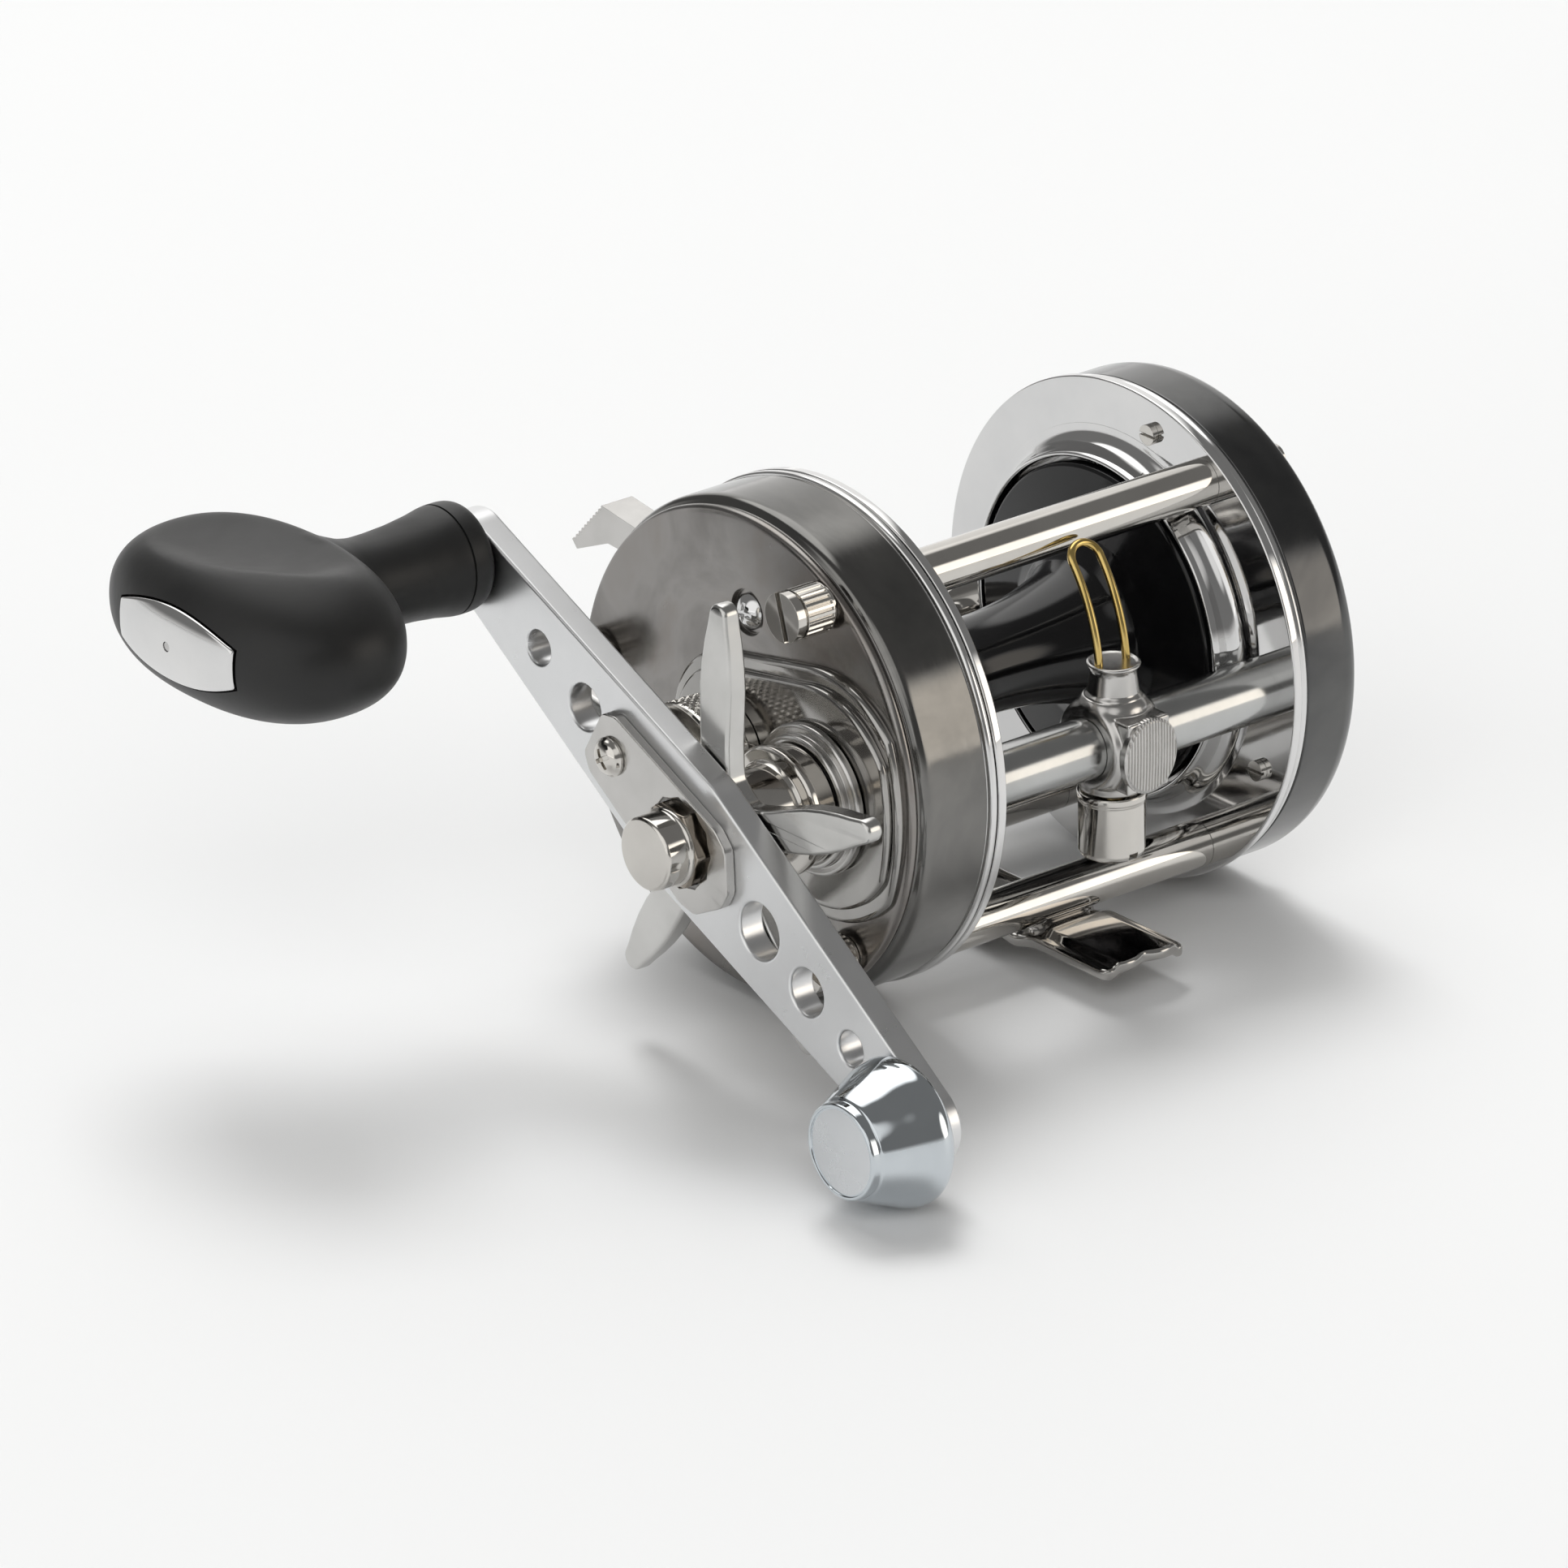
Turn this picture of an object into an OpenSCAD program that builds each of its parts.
// Round level-wind trolling reel, right-hand crank, star drag.
// Frame: +X runs along the spool axis from the crank side to the far side,
// -Y is the line-guide (front) side, +Z is up. Origin: underside of the reel
// foot, on its centre line. Inside place() x = 0 is the spool-side face of
// the crank-side frame ring and the ring centre is at y = 0, z = 0.

/* [Frame] */
// Outer diameter of the two frame rings
ring_d = 56; // [55:0.5:58]
// Clear width between the two frame rings
inner_w = 40.5; // [39:0.5:44]
// Diameter of the four frame pillars
pillar_d = 5.2; // [4.6:0.1:5.6]
// Outer diameter of the level-wind tube
guide_tube_d = 6.7; // [6.5:0.1:6.9]
// Height of the ring centre above the foot's underside
axis_h = 25.1; // [25:0.1:26.5]

/* [Foot] */
// Width of the foot blades at their ends
foot_w = 11.4; // [10:0.2:13]
// Overall length of the foot along the rod
foot_len = 55.6; // [50:1:62]
// Thickness of the foot's sheet
foot_t = 1.3; // [1:0.1:1.6]

/* [Crank] */
// Distance from the drive shaft to the knob spindle
crank_r = 42; // [36:1:46]
// Distance from the drive shaft to the counterweight
weight_r = 40.8; // [38:0.2:44]
// Crank arm thickness
arm_t = 3.2; // [2.6:0.1:3.2]
// Crank arm width at its middle
arm_mid_w = 16.2; // [14:0.2:18]
// Crank arm width at its ends
arm_end_w = 8.8; // [8:0.2:12]
// Angle of the crank arm above the horizontal, knob to the rear
crank_a = 29.4; // [0:0.1:45]
// Radius of the star drag wheel over its tips
star_r = 25.3; // [22:0.1:26]
// Length of the knob's paddle across the crank
paddle_l = 38; // [32:1:42]
// Height of the paddle
paddle_h = 18.4; // [15:0.2:20]
// Diameter of the counterweight at its widest
weight_d = 16; // [12:0.5:17]

/* [Gearing] */
// Tooth size (module) of the main gear pair
gear_m = 0.5; // [0.5:0.1:0.5]
// Teeth on the main gear
main_teeth = 47; // [47:1:47]
// Teeth on the pinion
pinion_teeth = 10; // [10:1:10]
// Tooth size (module) of the level-wind gear pair
lw_m = 0.6; // [0.6:0.1:0.6]
// Teeth on the level-wind drive gear
lw_drive_teeth = 18; // [18:1:18]
// Teeth on the worm's gear
lw_worm_teeth = 10; // [10:1:10]

/* [Hidden] */
gap = 0.03;                          // assembly clearance
face_gap = 0.02;                     // clearance between stacked faces
pillar_r = pillar_d / 2;
tube_r = guide_tube_d / 2;
ring_t = 1.1;

// Axes that run along X, each as [y, z]
spool_y = 0.5;
spool_z = 0.9;
main_spacing = gear_m * (main_teeth + pinion_teeth) / 2;
drive_y = spool_y - sqrt(main_spacing * main_spacing - spool_z * spool_z);
spool_at = [spool_y, spool_z];
drive_at = [drive_y, 0];
tube_y = drive_y - lw_m * (lw_drive_teeth + lw_worm_teeth) / 2;
tube_at = [tube_y, 0];
mesh_a = atan2(spool_z, spool_y - drive_y);  // from drive shaft to spool
pillars = [[-12.9, 21], [-12.9, -21], [10.6, -22.1], [24.1, -5]];
lower_pillars = [pillars[1], pillars[2]];
cup_pillars = [pillars[0], pillars[1], pillars[3]];  // screwed to the far cup
thumbscrews = [pillars[0], [-16.66, -17.55], [23.9, 3.8]];
ring_screws = [for (a = [101, 202, 330]) polar(24.4, a)];
face_screw_at = [-0.5, 16.2];
yoke_posts = [for (z = [10.4, -8.6]) [spool_y, z]];
thumb_pivot = [15.5, 9.2];
dog_pivot = [-16.6, -12.2];

// Radii of shafts and of what fits on or round them
drive_r = 2.5;
drive_bore = drive_r + gap;
loose_bore = 2.6;                    // washers on the drive shaft
spool_shaft_r = 1.2;
spool_bore = 1.22;
bearing_r = 3.5;
pillar_end_r = 1.8;
pillar_head_r = 2.3;
pillar_head_recess = 2.36;
spindle_r = 2.0;

// Stations along X
cup_face = -12.3;                    // outer face of the crank-side cup
far_cup_face = 10.1;                 // outer face of the far cup, from inner_w
cup_seat = ring_t + gap;             // ring-side face of either cup, off its ring
arm_outer = -31.4;                   // crank arm, face away from the reel
arm_inner = arm_outer + arm_t;

// ---------- placing ----------
module place() translate([-inner_w / 2, 0, axis_h]) children();
module far() translate([inner_w, 0, 0]) children();
module on(at) translate([0, at[0], at[1]]) children();
module on_each(points) for (p = points) on(p) children();

// ---------- solids along X ----------
module rod(start, end, radius, at = [0, 0], sides = 96)
  translate([start, at[0], at[1]]) rotate([0, 90, 0])
    cylinder(h = end - start, r = radius, $fn = sides);
module cone(start, end, start_r, end_r)
  translate([start, 0, 0]) rotate([0, 90, 0])
    cylinder(h = end - start, r1 = start_r, r2 = end_r, $fn = 96);
module pipe(start, end, radius, bore) difference() {
  rod(start, end, radius);
  rod(start - 1, end + 1, bore);
}
// profile points are [radius, x]
module lathe(profile) rotate([0, 90, 0]) rotate_extrude($fn = 128) polygon(profile);
// flat shape drawn in (y, z), extruded along X
module slab(start, end)
  translate([start, 0, 0]) rotate([90, 0, 90]) linear_extrude(end - start) children();
// square bar lying on its edge, for cutting V grooves along X
module v_cutter(length, side)
  rotate([45, 0, 0]) translate([0, -side / 2, -side / 2]) cube([length, side, side]);

// ---------- outlines ----------
function polar(radius, angle) = radius * [cos(angle), sin(angle)];
function arc(centre, radius, from, to, steps) =
  [for (i = [0 : steps]) centre + polar(radius, from + (to - from) * i / steps)];
function reversed(list) = [for (i = [len(list) - 1 : -1 : 0]) list[i]];
// half an outline and its reflection in the first axis, joined by the tip points
function both_sides(half, tip = []) =
  concat([for (q = half) [q[0], -q[1]]], tip, reversed(half));
// twelve-pointed outline
function notched(tip_r, tip_turn, root_r, root_turn) =
  [for (i = [0 : 11]) each [polar(tip_r, 30 * i + tip_turn), polar(root_r, 30 * i + root_turn)]];

// Involute gear outline, one tooth centred on angle turn; addendum and
// dedendum are in modules
pressure_angle = 22;
tooth_fill = 0.84;                   // tooth share of half the circular pitch
function involute(base, radius) = let (a = acos(min(1, base / radius))) tan(a) * 180 / PI - a;
function tooth_half(teeth, pitch, radius) = let (base = pitch * cos(pressure_angle))
  tooth_fill * 90 / teeth + involute(base, pitch) - involute(base, max(radius, base));
function gear_points(size, teeth, turn, addendum = 0.8, dedendum = 1.25) =
  let (
    pitch = size * teeth / 2,
    base = pitch * cos(pressure_angle),
    tip = pitch + addendum * size,
    root = pitch - dedendum * size,
    base_half = tooth_half(teeth, pitch, max(base, root)),
    flank = [                        // radius, half angle
      [root, base_half + 20 / teeth],
      [max(base, root + 0.02), base_half],
      [pitch, tooth_half(teeth, pitch, pitch)],
      [tip, tooth_half(teeth, pitch, tip)]]
  )
  [for (i = [0 : teeth - 1], q = both_sides(flank)) polar(q[0], turn + 360 * i / teeth + q[1])];

// ---------- frame ----------
// raised collar round the spool: radius, distance from the ring face to the spool
collar = [[21.6, -ring_t], [21.6, 0], [20.7, 0.2], [20.1, 0.6], [19.75, 1.2], [19.6, 2.0],
  [19.5, 2.8], [19.35, 3.15], [19.1, 3.3], [18.8, 3.15], [18.7, 2.8], [18.7, -ring_t]];
// face is the spool-side face; inward is +1 or -1, the way from it to the spool
module frame_ring(inward, face) {
  back = face - inward * ring_t;
  difference() {
    union() {
      difference() {
        rod(min(face, back), max(face, back), ring_d / 2, sides = 128);
        rod(face - 3, face + 3, 20.4, spool_at);
      }
      on(spool_at) lathe([for (q = collar) [q[0], face + inward * q[1]]]);
    }
    on_each(pillars) rod(face - 3, face + 3, pillar_end_r + gap);
    rod(face - 4, face + 4, tube_r + gap, tube_at);
    if (inward < 0) on_each(ring_screws) rod(face - 3, face + 3, 0.75);
    if (inward > 0) for (i = [1, 2]) rod(face - 3, face + 3, 1.25, thumbscrews[i]);
  }
}
module crank_side_ring() color("gainsboro") place() frame_ring(1, 0);
module far_side_ring() color("gainsboro") place() frame_ring(-1, inner_w);

// pillar 0 takes the top thumbscrew; all but pillar 2 take a far cup screw
module pillar(i) place() on(pillars[i]) difference() {
  end = ring_t + face_gap;
  union() {
    rod(gap, inner_w - gap, pillar_r);
    rod(-end, inner_w + end, pillar_end_r);
    cone(inner_w + end, inner_w + ring_t + 0.5, pillar_head_r, pillar_end_r);
    if (i > 0) cone(-ring_t - 0.45, -end, pillar_end_r, pillar_head_r);
  }
  if (i == 0) rod(-3, 6, 1.22);
  if (i != 2) rod(inner_w - 4.5, inner_w + 3, 1.03);
}
module top_pillar() color("lightgray") pillar(0);
module front_pillar() color("lightgray") pillar(1);
module foot_pillar() color("lightgray") pillar(2);
module rear_pillar() color("lightgray") pillar(3);

// six slotted screws: three hold the brake plate behind the far ring, heads on
// the spool side, and three long ones pass through the far cup into pillar ends
module plate_screws() color("silver") place() far() {
  on_each(ring_screws) difference() {
    union() {
      rod(-0.75, -face_gap, 1.15);
      rod(-face_gap, 1.95, 0.7);
    }
    translate([-0.8, -2, -0.16]) cube([0.4, 4, 0.32]);
  }
  on_each(cup_pillars) difference() {
    union() {
      rod(-4.0, far_cup_face + 0.1, 0.98);
      rod(far_cup_face + face_gap, far_cup_face + 0.4, 1.6);
      cone(far_cup_face + 0.4, far_cup_face + 0.85, 1.6, 0.9);
    }
    translate([far_cup_face + 0.5, -2.5, -0.22]) cube([1, 5, 0.44]);
  }
}

// ---------- foot: a sheet arched across the rod, seated under the two lower pillars ----------
arch_r = 18;                         // radius of the arch's underside
foot_waist = 0.6;                    // how much narrower each edge is at the middle
waist_end = 7;                       // the waist fades out from here to twice this
rivet_xs = [-3.2, 3.2];
rivet_r = 1.0;
function foot_half_w(y) =
  foot_w / 2 - foot_waist * (1 - min(1, max(0, (abs(y) - waist_end) / waist_end)));
foot_edge = [for (i = [0 : 40]) let (y = -foot_len / 2 + foot_len * i / 40) [foot_half_w(y), y]];
module arch_bar(length, radius)
  translate([0, length / 2, -axis_h - arch_r]) rotate([90, 0, 0])
    cylinder(h = length, r = radius, $fn = 128);
module reel_foot() color("gainsboro") place() translate([inner_w / 2, 0, 0]) difference() {
  union() {
    intersection() {
      arch_bar(foot_len, arch_r + foot_t);
      translate([0, 0, -axis_h - 6]) linear_extrude(9)
        polygon(concat(foot_edge, [for (q = reversed(foot_edge)) [-q[0], q[1]]]));
    }
    // a saddle under each lower pillar
    for (p = lower_pillars) translate([-5.2, p[0] - 2.3, -axis_h + 0.2])
      cube([10.4, 4.6, p[1] + axis_h + 0.9]);
  }
  arch_bar(2 * foot_len, arch_r);
  for (p = lower_pillars) {
    rod(-20, 20, pillar_r + gap, p);
    for (x = rivet_xs) translate([x, p[0], -axis_h - 4]) {
      cylinder(h = 12, r = rivet_r + gap, $fn = 48);
      cylinder(h = 3.72, r = 1.65, $fn = 48);
    }
  }
}
rivet_drop = 0.75;                   // heads start this far below the foot's underside
module foot_rivets() color("silver") place() for (p = lower_pillars, x = rivet_xs)
  translate([inner_w / 2 + x, p[0], -axis_h - rivet_drop]) union() {
    cylinder(h = p[1] - pillar_r - face_gap + axis_h + rivet_drop, r = rivet_r, $fn = 48);
    cylinder(h = 0.45, r = 1.6, $fn = 48);
  }

// ---------- level wind ----------
module guide_tube() color("silver") place() on(tube_at) difference() {
  rod(-1.0, inner_w + 1.0, tube_r);
  rod(-2, inner_w + 2, 2.75);
  translate([4.2, -1.15, -6]) cube([inner_w - 8.4, 2.3, 6]);
}
module worm_bushings() color("peru") place() on(tube_at) for (side = [0, 1])
  translate([side * inner_w, 0, 0]) mirror([side, 0, 0]) pipe(-1.0, 2.6, 2.72, 1.23);

worm_end = 2.8;                      // the grooved part stops this far from each ring
worm_twist = 1080;
module worm_section() difference() {
  circle(r = 2.3, $fn = 13);
  translate([2.4, 0]) circle(r = 0.9, $fn = 6);
}
// right- and left-hand grooves cross on the worm
module worm_shaft() color("silver") place() on(tube_at) {
  rod(-3.6, 3.2, 1.2);
  rod(inner_w - 3.2, inner_w - 0.2, 1.2);
  translate([worm_end, 0, 0]) rotate([0, 90, 0]) intersection() {
    linear_extrude(inner_w - 2 * worm_end, twist = worm_twist, slices = 54) worm_section();
    linear_extrude(inner_w - 2 * worm_end, twist = -worm_twist, slices = 54) worm_section();
  }
}
module worm_gear() color("khaki") place() on(tube_at) difference() {
  slab(-3.5, -2.5) polygon(gear_points(lw_m, lw_worm_teeth, 180 / lw_worm_teeth));
  rod(-5, 0, 1.22);
}

// ---------- line guide, carried on the tube ----------
guide_x = inner_w / 2 - 0.4;         // its position along the tube
wire_r = 0.45;
wire_x = 1.9;                        // each leg's distance from the guide's middle
wire_z = 6.2;                        // height where the legs start to curve
wire_bend = 20.9;                    // radius of each leg's curve
wire_turn = 38.0;                    // angle it turns through
pawl_r = 1.35;
module on_guide() place() translate([guide_x, tube_y, 0]) children();
module wire_legs(turn, radius) for (x = [-wire_x, wire_x])
  translate([x, wire_bend, wire_z]) rotate([90, 0, 90]) rotate([0, 0, 180 - turn])
    rotate_extrude(angle = turn, $fn = 128) translate([wire_bend, 0]) circle(r = radius, $fn = 24);
module line_guide() color("silver") on_guide() difference() {
  union() {
    // round barrel with its front, rear, top and bottom cut flat
    intersection() {
      rod(-3.9, 3.9, 5.6);
      translate([-3.9, -5.0, -5.2]) cube([7.8, 10.0, 10.4]);
    }
    translate([0, 0, 4.4]) cylinder(h = 4.4, r1 = 3.2, r2 = 2.8, $fn = 64);
    translate([0, 0, -5.6]) cylinder(h = 3, r = 3.3, $fn = 64);
    // flat ribbed pad on the front
    intersection() {
      translate([0, -4.2, 0]) rotate([90, 0, 0]) cylinder(h = 1.6, r = 4.1, $fn = 64);
      translate([-3.1, -8, -4.3]) cube([6.2, 6, 8.6]);
    }
  }
  rod(-6, 6, tube_r + 0.06);
  translate([0, 0, -9]) cylinder(h = 9, r = pawl_r + 0.05, $fn = 48);
  for (x = [-wire_x, wire_x]) translate([x, 0, 5.6]) cylinder(h = 0.8, r = 0.5, $fn = 32);
  wire_legs(12, wire_r + 0.04);
  for (i = [-6 : 6]) translate([i * 0.46 - 0.1, -6.2, -5]) cube([0.2, 0.62, 10]);
}
// one bent wire: two legs that curve back, joined by a half-circle
module guide_wire() color("goldenrod") on_guide() union() {
  wire_legs(wire_turn, wire_r);
  translate([0, wire_bend * (1 - cos(wire_turn)), wire_z + wire_bend * sin(wire_turn)])
    rotate([90 - wire_turn, 0, 0]) {
      rotate_extrude(angle = 180, $fn = 64) translate([wire_x, 0]) circle(r = wire_r, $fn = 24);
      // a short sleeve joins each leg to the bow
      for (x = [-wire_x, wire_x]) translate([x, 0.05, 0]) rotate([90, 0, 0])
        cylinder(h = 0.1, r = wire_r + 0.004, $fn = 24);
    }
}
module guide_pawl() color("khaki") on_guide() {
  translate([0, 0, -8.6]) cylinder(h = 5.1, r = pawl_r, $fn = 48);
  translate([0, 0, -3.6]) cylinder(h = 0.5, r = 1.0, $fn = 48);
  translate([-0.9, -0.3, -3.2]) cube([1.8, 0.6, 0.75]);
}
module pawl_cap() color("gainsboro") on_guide() difference() {
  union() {
    translate([0, 0, -12.6]) cylinder(h = 7.0, r = 3.75, $fn = 96);
    translate([0, 0, -13.0]) cylinder(h = 0.4, r1 = 3.35, r2 = 3.75, $fn = 96);
  }
  translate([0, 0, -8.75]) cylinder(h = 6, r = pawl_r + 0.1, $fn = 48);
  translate([0, 0, -5.62]) cylinder(h = 1, r = 3.33, $fn = 64);
  translate([0, 0, -6.6]) cylinder(h = 2, r = 3.33, $fn = 64);
  // screwdriver slot
  translate([-0.55, -5, -14]) cube([1.1, 10, 1.7]);
}

// ---------- crank-side cup ----------
// convex outline round the spool and drive axes, held within limit of the ring centre
function boss(spool_end_r, drive_end_r, limit) =
  let (
    run = drive_at - spool_at,
    heading = atan2(run[1], run[0]),
    tangent = acos((spool_end_r - drive_end_r) / norm(run))
  )
  [for (q = concat(
      arc(spool_at, spool_end_r, heading + tangent, heading + 360 - tangent, 28),
      arc(drive_at, drive_end_r, heading - tangent, heading + tangent, 28)))
    norm(q) > limit ? q * limit / norm(q) : q];
// radius, x
crank_cup_profile = [[0, cup_face], [26.3, cup_face], [26.75, -12.15], [26.95, -11.8],
  [26.95, -11.45], [26.7, -11.2], [26.75, -10.95], [27.4, -10.7], [27.6, -10.4], [27.7, -9.8],
  [27.7, -2.45], [27.35, -2.35], [27.35, -2.2], [27.8, -2.1], [28, -1.9], [28, -1.45],
  [27.8, -1.25], [27.5, -cup_seat], [0, -cup_seat]];
module crank_side_cup() color("dimgray") place() difference() {
  union() {
    lathe(crank_cup_profile);
    slab(-13.2, -11) polygon(boss(10.4, 14.0, 25.9));
    slab(-14.1, -11) polygon(boss(8.9, 12.3, 25.2));
    rod(-17.6, -13.5, 4.6, spool_at);
  }
  rod(-11.2, 0, 25.9);
  on_each(pillars) rod(-2.5, 0, pillar_head_recess);
  rod(-2.5, 0, tube_r + gap, tube_at);
  slab(-12.9, -11) polygon(boss(8.0, 11.4, 24.6));
  // bore and bearing seat inside the tension cap
  rod(-20, -5, 3.0, spool_at);
  rod(-16.6, -5, bearing_r + gap, spool_at);
  rod(-20, -5, 5.0, drive_at);
  on_each(thumbscrews) rod(-20, -5, 1.3);
  // pocket with the domed screw
  rod(-14, -11.65, 2.6, face_screw_at);
  rod(-14, -5, 0.9, face_screw_at);
  // window for the thumb bar
  slab(-7.4, -2.62) polygon([[20.0, 10.9], [30, 10.9], [30, 18.0], [20.0, 18.0]]);
}
module face_screw() color("silver") place() on(face_screw_at) difference() {
  union() {
    intersection() {
      rod(-13.3, -11.67, 2.0);
      translate([-10.6, 0, 0]) sphere(r = 2.45, $fn = 64);
    }
    rod(-11.67, -9.3, 0.87);
  }
  translate([-13.7, -0.25, -3]) cube([0.95, 0.5, 6]);
  translate([-13.7, -3, -0.25]) cube([0.95, 6, 0.5]);
}
module gear_plate() color("silver") place() difference() {
  union() {
    rod(-2.3, -cup_seat, 25.9);
    // guide posts for the yoke, pivots for thumb bar and dog
    on_each(yoke_posts) rod(-9.4, -2.2, 1.0);
    rod(-7.3, -2.2, 1.2, thumb_pivot);
    rod(-4.55, -2.2, 1.0, dog_pivot);
  }
  rod(-4, 0, 3.2, spool_at);
  rod(-4, 0, 1.53, drive_at);
  rod(-4, 0, 2.2, tube_at);
  on_each(thumbscrews) rod(-4, 0, 1.4);
  on_each(pillars) rod(-4, 0, 2.5);
}

// ---------- far side ----------
// radius, x from the far ring
far_cup_profile = [[0, far_cup_face], [25.9, far_cup_face], [26.5, 9.95], [27.0, 9.5],
  [27.3, 8.8], [27.5, 8.0], [27.5, 2.5], [27.2, 2.35], [27.2, 2.2], [27.55, 2.1], [27.7, 1.9],
  [27.7, 1.5], [27.4, 1.25], [27.2, cup_seat], [0, cup_seat]];
module far_side_cup() color("dimgray") place() far() difference() {
  union() {
    lathe(far_cup_profile);
    rod(9.5, 11.3, 9.0, spool_at);
    rod(9.5, 12.4, 6.2, spool_at);
  }
  rod(0, 9.1, 26.2);
  on_each(pillars) rod(0, 2.5, pillar_head_recess);
  rod(0, 2.5, tube_r + gap, tube_at);
  rod(5, 11.0, bearing_r + gap, spool_at);
  // slot for the click button
  slab(5, 14) polygon([[-1.2, -16.6], [1.2, -16.6], [1.2, -10.4], [-1.2, -10.4]]);
  on_each(cup_pillars) rod(5, 14, 1.05);
}
module brake_plate() color("silver") place() far() difference() {
  union() {
    rod(cup_seat, 1.95, 25.9);
    rod(-1.3, 1.5, 8.6, spool_at);
  }
  rod(-3, 6, 7.8, spool_at);
  on_each(pillars) rod(0, 6, 2.5);
  rod(0, 6, 3.7, tube_at);
  on_each(ring_screws) rod(0, 6, 0.72);
}

// ---------- drive train ----------
module shaft_bushing() color("gainsboro") place() on(drive_at) difference() {
  lathe([[0, -16.4], [6.9, -16.4], [7.2, -16.2], [7.2, -15.4], [8.0, -15.4], [8.3, -15.2],
    [8.3, -14.5], [8.0, -14.2], [7.5, -14.13], [4.97, -14.13], [4.97, -11.4], [0, -11.4]]);
  rod(-20, -5, 3.05);
}
module drive_shaft() color("silver") place() on(drive_at) {
  rod(-33.4, -2.6, drive_r);
  rod(-2.62, -1.3, 1.5);
}
module main_gear() color("khaki") place() on(drive_at) difference() {
  slab(-6.9, -4.6) polygon(gear_points(gear_m, main_teeth, mesh_a));
  rod(-8, -4, drive_bore);
  rod(-8, -5.5, 9.3);
}
module level_wind_drive_gear() color("khaki") place() on(drive_at) difference() {
  slab(-3.5, -2.7) polygon(gear_points(lw_m, lw_drive_teeth, 180));
  rod(-8, 0, drive_bore);
}
module ratchet_wheel() color("silver") place() on(drive_at) difference() {
  slab(-4.5, -3.7) polygon(notched(5.0, 0, 3.7, 4));
  rod(-8, 0, drive_bore);
}
washer_pitch = 0.62;
// stacked outwards from the main gear's recess, wide and narrow by turns
module drag_washers() color("saddlebrown") place() on(drive_at) for (i = [0 : 3])
  translate([-i * washer_pitch, 0, 0]) pipe(-6.12, -5.52, i % 2 == 0 ? 9.1 : 8.9, loose_bore);
module pressure_plate() color("silver") place() on(drive_at) pipe(-8.9, -8.02, 8.9, loose_bore);
module drag_sleeve() color("silver") place() on(drive_at) pipe(-17.4, -8.92, 3.0, drive_bore);

// two coned washers back to back: bore, profile of [radius, x]
drag_spring_shapes = [
  [3.03, [[0, -17.45], [3.0, -17.45], [6.0, -17.0], [6.0, -16.75], [3.0, -17.2]]],
  [2.55, [[0, -17.5], [3.0, -17.5], [6.0, -17.95], [6.0, -18.2], [3.0, -17.75], [0, -17.75]]]];
module drag_springs() color("silver") place() on(drive_at)
  for (shape = drag_spring_shapes) difference() {
    lathe(shape[1]);
    rod(-20, -5, shape[0]);
  }
module star_hub() color("gainsboro") place() on(drive_at) difference() {
  lathe([[0, -25.4], [5.3, -25.4], [5.3, -20.3], [5.6, -20.0], [6.8, -19.9], [7.05, -19.7],
    [7.05, -19.0], [6.8, -18.8], [6.6, -18.8], [6.6, -16.7], [0, -16.7]]);
  rod(-26, -16, drive_bore);
  rod(-18.25, -16, 6.1);
}
// one arm of the star: radius, half width
star_arm_edge = [[0, 2.75], [5.2, 2.75], [7.5, 2.35], [10, 2.25], [13, 2.4], [16, 2.5],
  [18.5, 2.35], [21, 1.95], [23, 1.5]];
star_tip_r = 1.35;
module drag_star() color("silver") place() on(drive_at) difference() {
  slab(-28.0, -25.43) union() {
    circle(r = 6.6, $fn = 64);
    for (i = [0 : 4]) rotate(18 + 72 * i)
      polygon(both_sides(star_arm_edge, arc([star_r - star_tip_r, 0], star_tip_r, -75, 75, 10)));
  }
  rod(-30, -20, drive_bore);
}

// ---------- crank: turned about the drive shaft so the knob lies along +Y ----------
rivet_bore_gap = 0.03;
weight_rivet_r = 1.5;
lock_screw_r = 1.0;
lock_screw_at = [12.6, 0];
knob_on_arm = [crank_r, 0];
weight_on_arm = [-weight_r, 0];
module crank() place() on(drive_at) rotate([crank_a, 0, 0]) children();

arm_outline = concat(
  both_sides([[-weight_r, arm_end_w / 2], [0, arm_mid_w / 2], [crank_r, arm_end_w / 2]],
    arc(knob_on_arm, arm_end_w / 2, -80, 80, 12)),
  arc(weight_on_arm, arm_end_w / 2, 100, 260, 12));
// lightening holes: distance from the drive shaft, radius
arm_holes = [[28.0, 1.9], [19.3, 2.55], [-13.1, 3.1], [-21.8, 2.6], [-29.8, 1.9]];
module crank_arm() color("silver") crank() difference() {
  slab(arm_outer, arm_inner) polygon(arm_outline);
  for (hole = arm_holes) rod(-35, -25, hole[1], [hole[0], 0]);
  rod(-35, -25, drive_bore);
  rod(-35, -25, spindle_r + gap, knob_on_arm);
  rod(-35, -25, weight_rivet_r + rivet_bore_gap, weight_on_arm);
  rod(-35, -25, lock_screw_r + gap, lock_screw_at);
}
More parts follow.
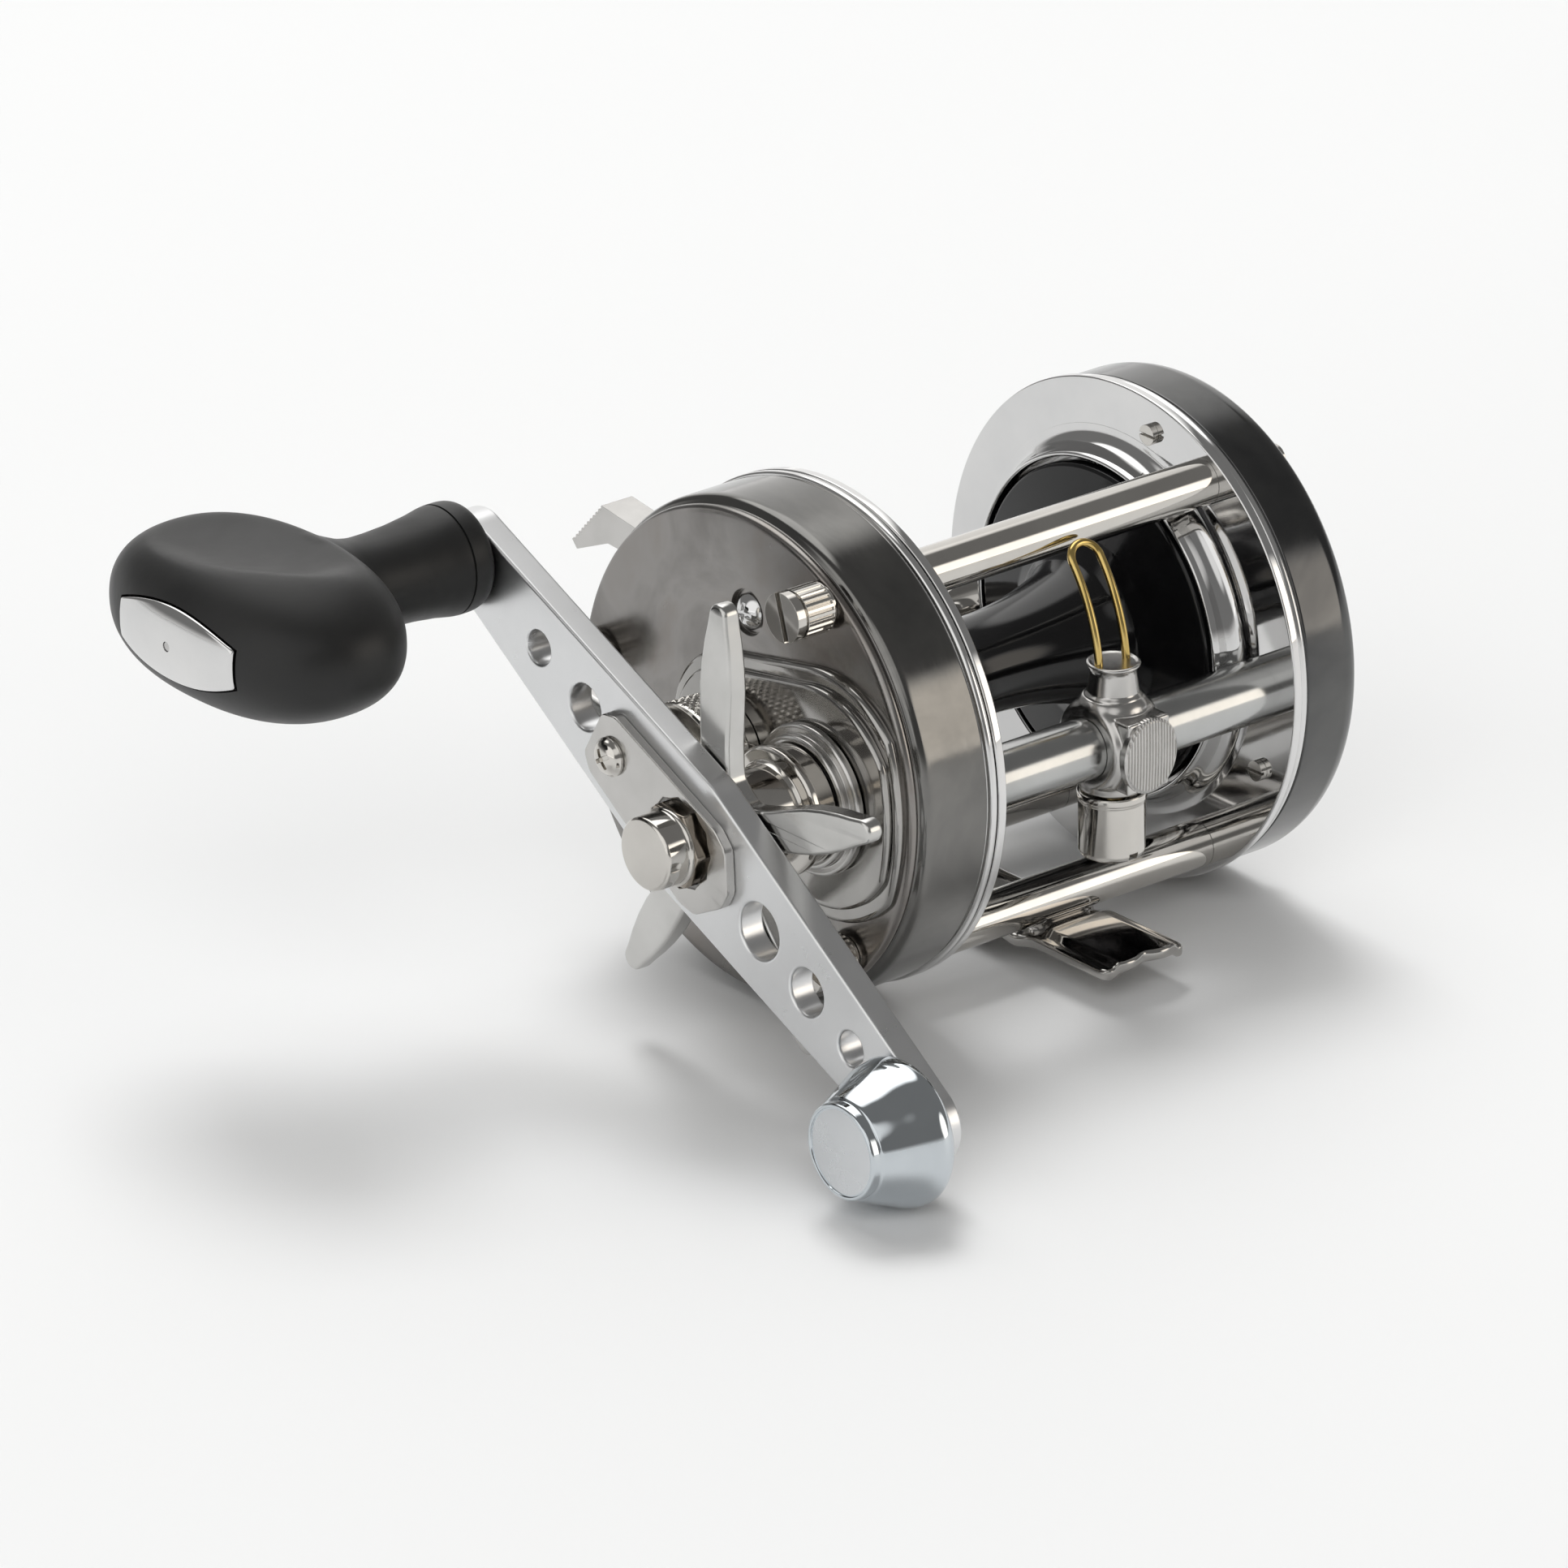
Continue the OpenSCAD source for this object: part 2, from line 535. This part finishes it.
// rounded corners: centre, radius, from angle, to angle, steps
lock_corners = [
  [[-3.6, 4.4], 1.4, 60, 130, 4], [[-7.2, -0.2], 1.3, 150, 215, 3],
  [[-3.6, -4.6], 1.4, 230, 300, 4], [[14.4, -2.4], 1.8, -60, 0, 5],
  [[14.4, 2.4], 1.8, 0, 60, 5]];
module lock_plate() color("gainsboro") crank() difference() {
  slab(arm_outer - 1.25, arm_outer - face_gap)
    polygon([for (c = lock_corners) each arc(c[0], c[1], c[2], c[3], c[4])]);
  slab(-40, -30) polygon(notched(5.05, 0, 4.72, 15));
  rod(-40, -30, lock_screw_r + gap, lock_screw_at);
}
module lock_screw() color("silver") crank() on(lock_screw_at) difference() {
  union() {
    rod(-33.45, arm_outer - 1.27, 2.15);
    cone(-34.05, -33.45, 1.45, 2.15);
    rod(-32.7, -29.4, lock_screw_r);
  }
  translate([-34.6, -0.25, -1.5]) cube([1.1, 0.5, 3]);
  translate([-34.6, -1.5, -0.25]) cube([1.1, 3, 0.5]);
}
module crank_nut() color("silver") crank() difference() {
  union() {
    slab(-33.9, arm_outer - face_gap) circle(r = 4.68, $fn = 6);
    lathe([[0, -37.25], [3.75, -37.25], [4.0, -37.0], [4.0, -34.4], [4.1, -34.2],
      [4.1, -33.8], [0, -33.8]]);
  }
  rod(-34, -30, drive_bore);
}
module counterweight() color("silver") crank() on(weight_on_arm) difference() {
  lathe([[0, -40.9], [4.7, -40.9], [5.05, -40.7], [5.15, -40.2], [5.15, -39.7], [5.5, -39.5],
    [6.65, -37.2], [7.6, -35.0], [weight_d / 2, -33.5], [7.85, -32.5], [7.3, -31.8],
    [6.7, arm_outer - face_gap], [0, arm_outer - face_gap]]);
  rod(-36, -30, weight_rivet_r + rivet_bore_gap);
}
// pin through the arm with a coned head on its inner face
module arm_pin(start, radius, head_r, head_end_r) {
  rod(start, arm_inner + face_gap, radius);
  cone(arm_inner + face_gap, arm_inner + 1.0, head_r, head_end_r);
}
module counterweight_rivet() color("silver") crank() on(weight_on_arm)
  arm_pin(-35.9, weight_rivet_r, 2.6, 1.7);
module knob_spindle() color("silver") crank() on(knob_on_arm)
  arm_pin(-63.8, spindle_r, 2.9, spindle_r);
module knob_bushings() color("peru") crank() on(knob_on_arm)
  for (x = [-37.4, -62.3]) pipe(x, x + 5.4, 2.95, spindle_r + 0.04);

// ---------- knob: a round stem that widens into a flat paddle, long axis level ----------
badge_pin_bore = 0.52;
module knob_frame() place() on(drive_at + polar(crank_r, crank_a)) children();
module paddle(grow) hull() translate([-58.9, 0, 0])
  scale([11.7 + grow, paddle_l / 2 + grow, paddle_h / 2 + grow]) sphere(r = 1, $fn = 44);
badge_outline = both_sides([for (i = [0 : 10]) let (t = -1 + i / 5) [9.7 * t, 4.3 - 2.1 * t * t]]);
module knob_grip() color([0.12, 0.12, 0.12]) knob_frame() difference() {
  union() {
    lathe([[0, -53], [5.0, -53], [5.1, -48], [5.5, -38], [5.8, -35.2], [5.8, -33],
      [5.4, -32], [5.1, arm_outer - 0.12], [0, arm_outer - 0.12]]);
    paddle(0);
  }
  rod(-64.8, -30, 2.98);
  slab(-80, -68.15) polygon(badge_outline);
  rod(-68.8, -66.4, badge_pin_bore, sides = 32);
}
module knob_badge() color("gainsboro") knob_frame() difference() {
  intersection() {
    slab(-76, -68.18) polygon(badge_outline * 0.985);
    paddle(0.15);
  }
  rod(-80, -66, badge_pin_bore, sides = 32);
}
module badge_pin() color("dimgray") knob_frame() rod(-70.7, -66.5, 0.5, sides = 32);

// ---------- free spool ----------
module pinion_gear() color("khaki") place() on(spool_at) difference() {
  union() {
    slab(-7.4, -4.0) polygon(gear_points(gear_m, pinion_teeth,
      mesh_a + 180 + 180 / pinion_teeth, addendum = 0.75, dedendum = 1.1));
    rod(-8.8, -7.4, 1.8);
    rod(-9.3, -8.8, 2.6);
    rod(-4.0, 0.9, 2.3);
  }
  rod(-12, 2, spool_bore);
  // slot that takes the shaft's cross pin
  translate([0.1, -4, -0.56]) cube([2, 8, 1.12]);
}
yoke_grip_r = 1.86;                  // opening round the pinion's neck
// y from the spool axis, z
yoke_outline = [[-1.2, -10.6], [4.4, -10.6], [4.4, 12.4], [-1.8, 12.4], [-1.8, 6.0],
  [-2.4, 3.0], [-2.4, -1.0], [-1.2, -4.0]];
module pinion_yoke() color("silver") place() difference() {
  on([spool_y, 0]) slab(-8.65, -7.75) polygon(yoke_outline);
  rod(-10, 0, yoke_grip_r, spool_at);
  translate([-10, spool_y - 5, spool_z - yoke_grip_r]) cube([4, 5, 2 * yoke_grip_r]);
  on_each(yoke_posts) rod(-12, 0, 1.05);
}
module yoke_springs() color("silver") place() on_each(yoke_posts) pipe(-8.9, -8.68, 1.65, 1.1);

// y, z; the first two points are the ends of the thumb face
thumb_outline = [[29.9, 17.4], [34.9, 12.0], [34.1, 11.1], [28.9, 13.35], [24.5, 13.1],
  [20.0, 12.0], [17.9, 8.3], [15.5, 6.5], [12.6, 7.5], [5.6, 9.6], [5.9, 11.4], [13.2, 11.6],
  [17.5, 13.2], [20.6, 16.1], [26.4, 16.9]];
module thumb_bar() color("gainsboro") place() difference() {
  slab(-7.1, -2.9) polygon(thumb_outline);
  rod(-12, 0, 1.25, thumb_pivot);
  // serrations across the thumb face
  for (i = [0 : 9]) let (t = 0.06 + i * 0.095)
    on(thumb_outline[0] + t * (thumb_outline[1] - thumb_outline[0]))
      translate([-8, 0, 0]) rotate([-47.2, 0, 0]) v_cutter(6, 0.4);
}
module antireverse_dog() color("silver") place() difference() {
  slab(-4.5, -3.75) polygon(concat(arc(dog_pivot, 2.0, 120, 320, 12),
    [[-13.0, -10.6], [-14.1, -5.3], [-14.9, -5.35], [-16.0, -9.6]]));
  rod(-8, 0, 1.04, dog_pivot);
}

// ---------- spool ----------
// crank-side flange: radius, x
flange = [[1.25, 1.6], [3.4, 1.6], [3.4, 2.3], [16.6, 2.3], [16.9, 1.6], [17.9, 1.6],
  [18.2, 1.9], [18.2, 3.1], [17.9, 3.4], [11, 4.6], [9.0, 5.4]];
arbor_start = 6.4;
function arbor_r(x) = 5.5 + 2.1 * pow(abs(x - inner_w / 2) / 12.7, 2);
arbor = [for (i = [0 : 12]) let (x = arbor_start + (inner_w - 2 * arbor_start) * i / 12)
  [arbor_r(x), x]];
module spool() color([0.07, 0.07, 0.08]) place() on(spool_at)
  lathe(concat(flange, arbor, [for (q = reversed(flange)) [q[0], inner_w - q[1]]]));
module spool_shaft() color("silver") place() on(spool_at) {
  rod(-15.8, inner_w + 10.8, spool_shaft_r);
  translate([0.4, -2.2, -0.5]) cube([0.9, 4.4, 1.0]);
}
module spool_bearings() color("silver") place() on(spool_at)
  for (x = [-14.4, inner_w + 8.4]) pipe(x, x + 2.5, bearing_r, 1.25);

brake_x = -0.3;                      // middle of the brake spokes, from the far ring
module brake_carrier() color("dimgray") place() far() on(spool_at) difference() {
  union() {
    rod(-1.2, 0.6, 3.0);
    for (i = [0 : 1]) rotate([90 * i, 0, 0]) translate([brake_x, -6.9, 0]) rotate([-90, 0, 0])
      cylinder(h = 13.8, r = 0.45, $fn = 32);
  }
  rod(-4, 4, spool_bore);
}
module brake_blocks() color("firebrick") place() far() on(spool_at) for (i = [0 : 3])
  translate([brake_x, 0, 0]) rotate([90 * i, 0, 0]) difference() {
    translate([-0.85, 4.1, -1.3]) cube([1.7, 3.0, 2.6]);
    translate([0, 3, 0]) rotate([-90, 0, 0]) cylinder(h = 6, r = 0.5, $fn = 32);
  }
module click_gear() color("khaki") place() far() on(spool_at) difference() {
  slab(3.2, 4.4) polygon(notched(4.0, 15, 3.2, 30));
  rod(2, 6, spool_bore);
}
// outer thumb piece, stem through the slot and the tongue behind it
module click_button() color("gainsboro") place() far() {
  slab(10.15, 11.2) polygon([[-2.6, -15.2], [-1.9, -15.9], [1.9, -15.9], [2.6, -15.2],
    [2.6, -12.2], [1.9, -11.5], [-1.9, -11.5], [-2.6, -12.2]]);
  slab(3.3, 10.2) polygon([[-1.0, -15.0], [1.0, -15.0], [1.0, -12.6], [-1.0, -12.6]]);
  slab(3.3, 4.3) polygon([[-0.8, -12.7], [0.8, -12.7], [1.1, -5.05], [0.5, -4.45],
    [-0.1, -5.05]]);
}
module tension_cap() color("silver") place() on(spool_at) difference() {
  lathe([[0, -20.7], [6.0, -20.7], [6.5, -20.4], [6.6, -20.0], [6.6, -16.3], [6.4, -16.0],
    [5.6, -15.9], [5.6, -14.2], [0, -14.2]]);
  rod(-17.7, -10, 4.66);
  rod(-18.9, -10, 3.4);
  for (i = [0 : 47]) rotate([i * 7.5, 0, 0]) translate([-19.9, 6.62, 0]) v_cutter(3.5, 0.28);
}

// ---------- thumbscrews on the crank-side cup: top into its pillar, two into the ring ----------
module thumbscrew(i) color("silver") place() on(thumbscrews[i]) difference() {
  union() {
    rod(-18.0, -16.9, 2.75);
    rod(-16.9, -16.6, 2.3);
    rod(-16.6, -13.0, 2.75);
    rod(-13.0, -12.35, 2.2);
    rod(-12.4, i == 0 ? 3.5 : -0.1, 1.18);
  }
  for (k = [0 : 23]) rotate([k * 15, 0, 0]) translate([-16.55, 2.78, 0]) v_cutter(3.4, 0.32);
  rotate([i == 0 ? 73 : 15, 0, 0]) translate([-18.6, -4, -0.4]) cube([1.4, 8, 0.8]);
}
module thumbscrew_top() thumbscrew(0);
module thumbscrew_front() thumbscrew(1);
module thumbscrew_rear() thumbscrew(2);

crank_side_ring();
far_side_ring();
top_pillar();
front_pillar();
foot_pillar();
rear_pillar();
plate_screws();
reel_foot();
foot_rivets();
guide_tube();
worm_bushings();
worm_shaft();
worm_gear();
crank_side_cup();
far_side_cup();
gear_plate();
brake_plate();
shaft_bushing();
face_screw();
drive_shaft();
main_gear();
level_wind_drive_gear();
ratchet_wheel();
drag_washers();
pressure_plate();
drag_sleeve();
drag_springs();
star_hub();
drag_star();
crank_arm();
lock_plate();
lock_screw();
crank_nut();
counterweight();
counterweight_rivet();
knob_spindle();
knob_bushings();
knob_grip();
knob_badge();
badge_pin();
pinion_gear();
pinion_yoke();
yoke_springs();
thumb_bar();
antireverse_dog();
spool();
spool_shaft();
spool_bearings();
brake_carrier();
brake_blocks();
click_gear();
click_button();
tension_cap();
thumbscrew_top();
thumbscrew_front();
thumbscrew_rear();
line_guide();
guide_wire();
guide_pawl();
pawl_cap();
